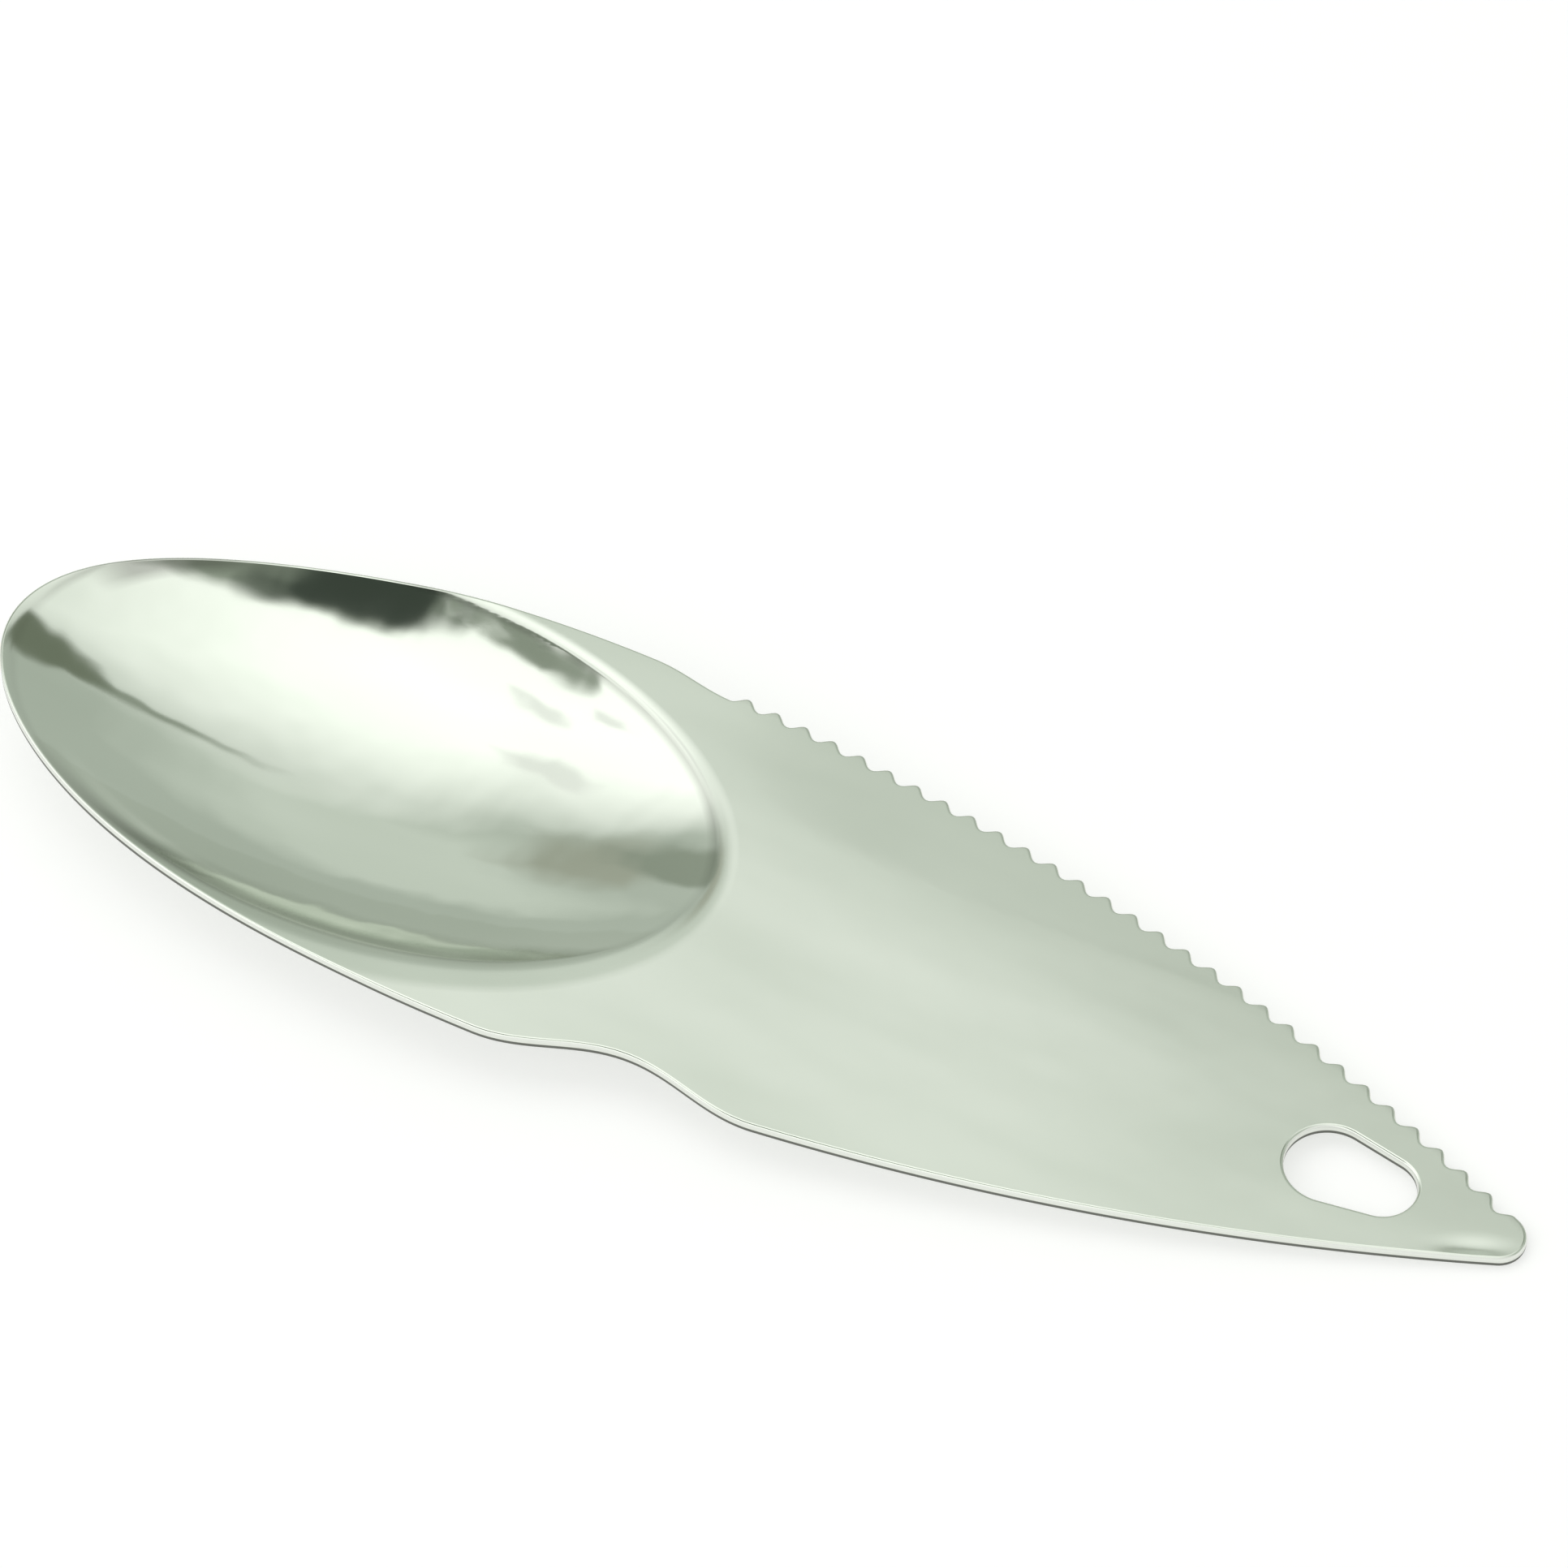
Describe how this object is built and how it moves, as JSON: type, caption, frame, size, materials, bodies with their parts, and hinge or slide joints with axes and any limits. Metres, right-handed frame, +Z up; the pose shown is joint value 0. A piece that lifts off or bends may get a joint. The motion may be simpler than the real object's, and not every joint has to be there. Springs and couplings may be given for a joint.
{
  "type": "kiwi peeler spoon",
  "caption": "Leaf-shaped kitchen tool pressed from one stainless sheet: a spoon bowl at the wide end, a flat pointed blade with a toothed edge, a finger notch and a hanging slot.",
  "frame": {"origin": "on the table the part lies on, under the middle of its box", "axes": "+X from the bowl end to the tip, +Y towards the toothed edge, +Z up, with the bowl's mouth facing up"},
  "size_m": [0.1019, 0.03, 0.0068],
  "materials": {
    "stainless_steel": "buffed bowl close to a mirror, fine satin polish on the blade"
  },
  "bodies": {
    "root": {"pressed_spoon": "stainless_steel"}
  },
  "joints": []
}
